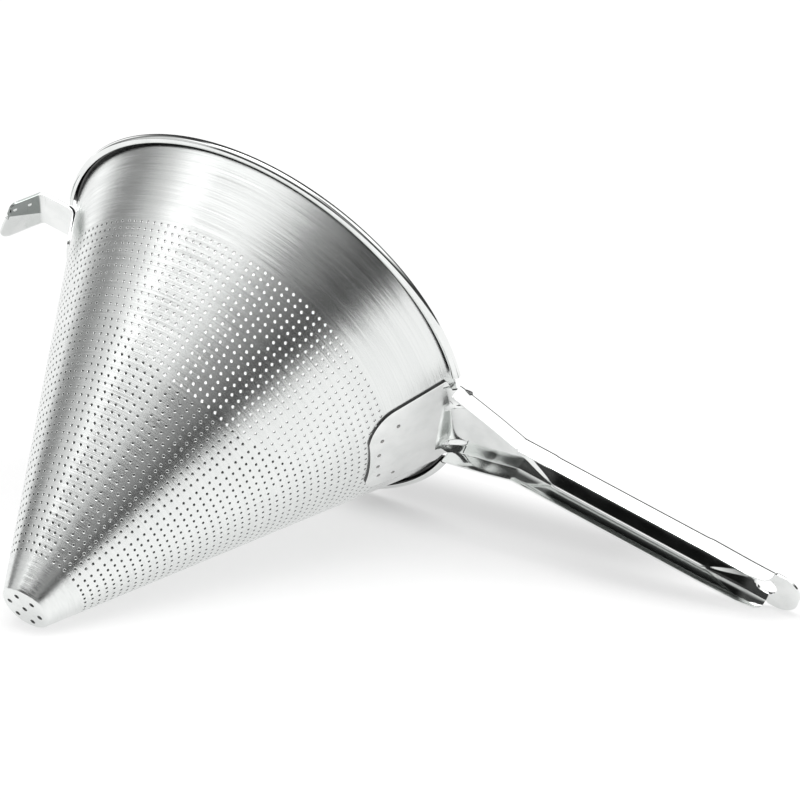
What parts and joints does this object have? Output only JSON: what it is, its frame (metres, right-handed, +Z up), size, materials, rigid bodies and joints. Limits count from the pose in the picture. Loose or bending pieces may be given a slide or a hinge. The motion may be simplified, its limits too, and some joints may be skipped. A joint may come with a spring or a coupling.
{
  "type": "conical strainer",
  "caption": "Conical perforated sheet-metal strainer with a rolled rim, a folded flat handle with a hanging hole, and a rest hook opposite the handle.",
  "frame": {"origin": "centre of the bounding box, on the surface the strainer lies on", "axes": "the strainer lies on its side: +Z up, +X the way the handle leaves and the longest extent, +Y from the tip towards the mouth along the line of the wall that touches the surface"},
  "size_m": [0.4566, 0.2614, 0.2263],
  "materials": {
    "perforated_sheet": "brushed round the cone",
    "polished_rim": "polished",
    "polished_sheet": "polished",
    "weld_mark": "dull"
  },
  "bodies": {
    "root": {"strainer_cone": "perforated_sheet", "tip_cap": "perforated_sheet", "rim_bead_near": "polished_rim", "rim_bead_far": "polished_rim", "handle_bracket": "polished_sheet", "handle_shell": "polished_sheet", "hook_strap": "polished_sheet", "bracket_welds": "weld_mark", "hook_welds": "weld_mark"}
  },
  "joints": []
}
